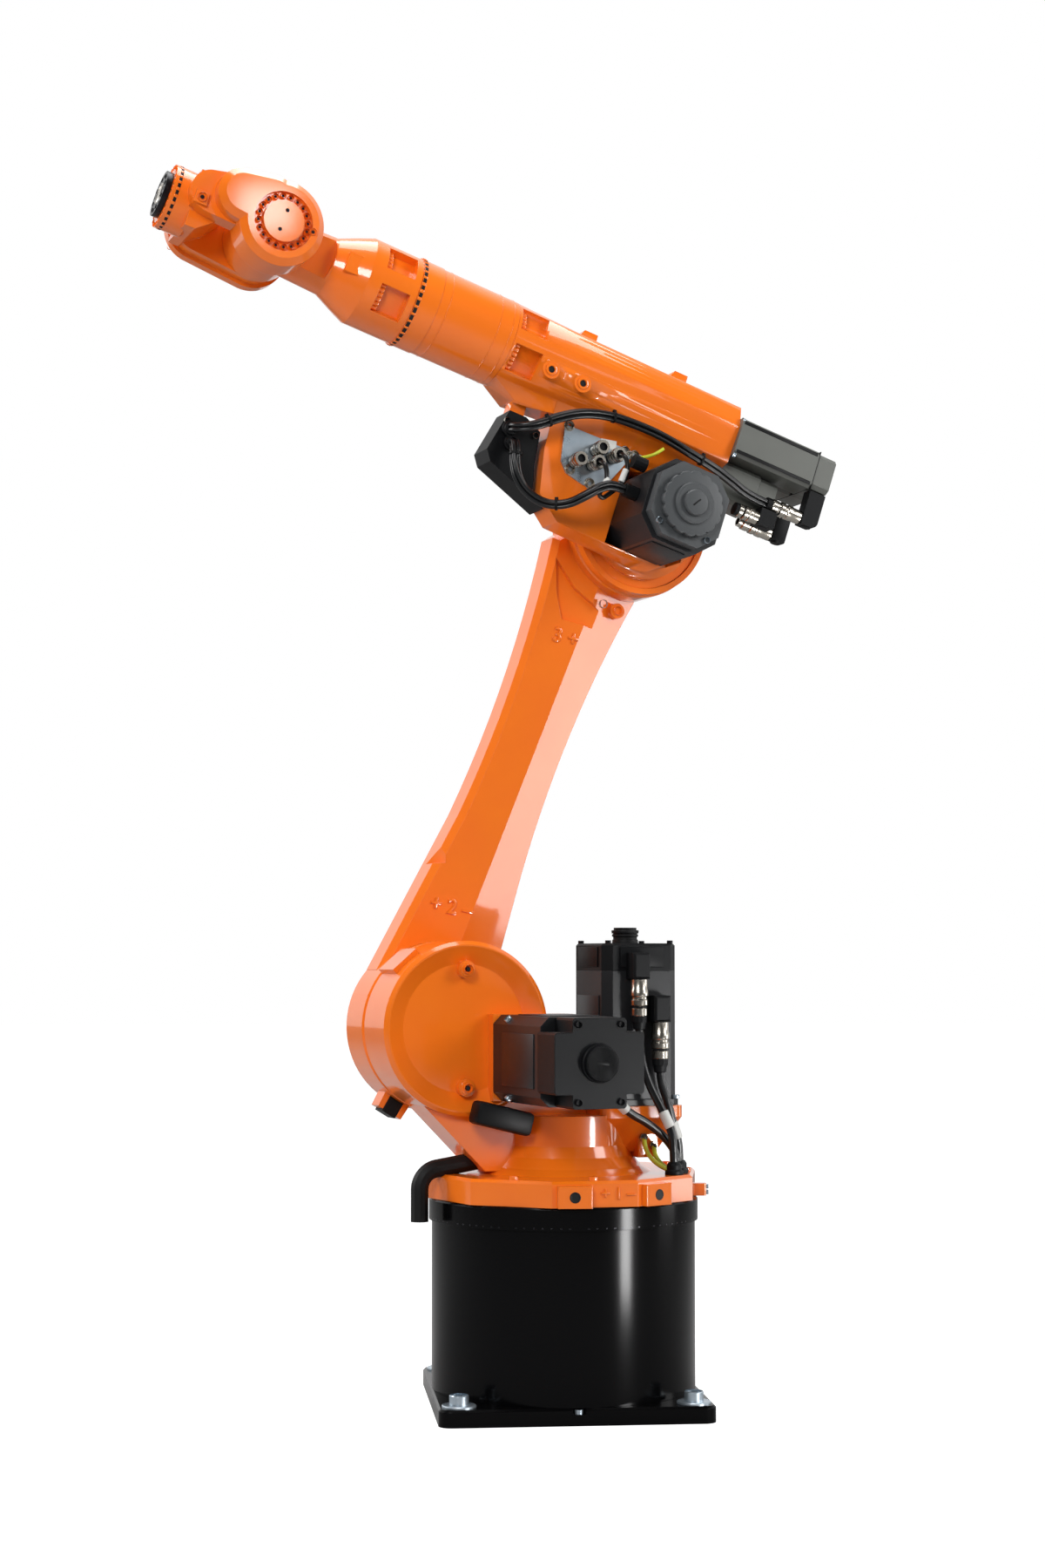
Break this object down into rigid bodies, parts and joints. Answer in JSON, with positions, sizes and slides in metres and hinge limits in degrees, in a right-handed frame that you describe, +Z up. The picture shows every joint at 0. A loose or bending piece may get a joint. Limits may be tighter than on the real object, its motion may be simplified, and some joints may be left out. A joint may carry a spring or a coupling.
{
  "type": "industrial robot arm",
  "caption": "Six-axis jointed arm on a round pedestal with a square floor plate: turning column, waisted link arm, upper arm with rear motors, in-line wrist and tool flange.",
  "frame": {"origin": "centre of the base plate's underside, on the first axis", "axes": "+Z up along the first axis, +X to the front of the base plate, +Y to the side that carries the second and third motors when the column faces forward"},
  "size_m": [0.9796, 0.4886, 1.6719],
  "materials": {
    "orange_paint": "gloss orange enamel on cast aluminium",
    "black_gloss": "gloss black enamel",
    "black_cast": "satin black painted motor housing",
    "black_plastic": "matt black plastic",
    "grey_plastic": "matt dark grey plastic",
    "black_rubber": "black rubber",
    "black_cable": "black cable jacket",
    "zinc": "zinc plated sheet steel",
    "black_steel": "black oxidised steel"
  },
  "bodies": {
    "base": {"base_plate": "black_gloss", "base_drum": "black_gloss", "base_collar": "black_gloss"},
    "column": {"column_casting": "orange_paint", "column_motor": "black_cast", "column_motor_cover": "black_plastic", "shoulder_motor": "black_cast", "shoulder_motor_cover": "black_plastic", "outlet_elbow": "black_rubber", "upper_motor_plug": "black_plastic", "lower_motor_plug": "black_plastic", "upper_plug_cable": "black_cable", "lower_plug_cable": "black_cable", "shoulder_motor_cable": "black_cable"},
    "link_arm": {"link_arm": "orange_paint", "stop_buffer": "black_rubber"},
    "upper_arm": {"arm_housing": "orange_paint", "forearm_tube": "orange_paint", "elbow_motor": "black_cast", "elbow_motor_cover": "grey_plastic", "connector_plate": "zinc", "cable_hood": "black_plastic", "near_wrist_motor": "black_cast", "far_wrist_motor": "black_cast", "lower_wrist_motor": "black_cast", "rear_plug": "black_plastic", "lower_rear_plug": "black_plastic", "upper_cable_bundle": "black_cable", "lower_cable_bundle": "black_cable", "upper_elbow_plug": "black_plastic", "lower_elbow_plug": "black_plastic", "plate_socket_1": "black_plastic", "plate_socket_2": "black_plastic", "plate_socket_3": "black_plastic", "plate_socket_4": "black_plastic"},
    "forearm": {"forearm_front": "orange_paint"},
    "wrist": {"wrist_head": "orange_paint", "wrist_cover": "orange_paint", "belt_cover": "orange_paint"},
    "flange": {"tool_flange": "black_steel"}
  },
  "joints": [
    {"name": "axis_1_turn", "type": "hinge", "parent": "base", "child": "column", "pos_m": [0, 0, 0.282], "axis": [0, 0, 1], "range_deg": [-196.4, 163.6]},
    {"name": "axis_2_shoulder", "type": "hinge", "parent": "column", "child": "link_arm", "pos_m": [0.15349, 0.04517, 0.52], "axis": [-0.2823, 0.9593, 0], "range_deg": [-72.5, 177.5]},
    {"name": "axis_3_elbow", "type": "hinge", "parent": "link_arm", "child": "upper_arm", "pos_m": [-0.13286, -0.0391, 1.24063], "axis": [0.2823, -0.9593, 0], "range_deg": [-68.6, 231.4]},
    {"name": "axis_4_roll", "type": "hinge", "parent": "upper_arm", "child": "forearm", "pos_m": [0.22091, 0.06502, 1.51897], "axis": [0.9118, 0.2684, 0.3107], "range_deg": [-350, 350]},
    {"name": "axis_5_tilt", "type": "hinge", "parent": "forearm", "child": "wrist", "pos_m": [0.41969, 0.12352, 1.5867], "axis": [-0.2823, 0.9593, 0], "range_deg": [-130.7, 129.3]},
    {"name": "axis_6_roll", "type": "hinge", "parent": "wrist", "child": "flange", "pos_m": [0.55243, 0.16259, 1.63006], "axis": [0.9154, 0.2694, 0.299], "range_deg": [-350, 350]}
  ]
}
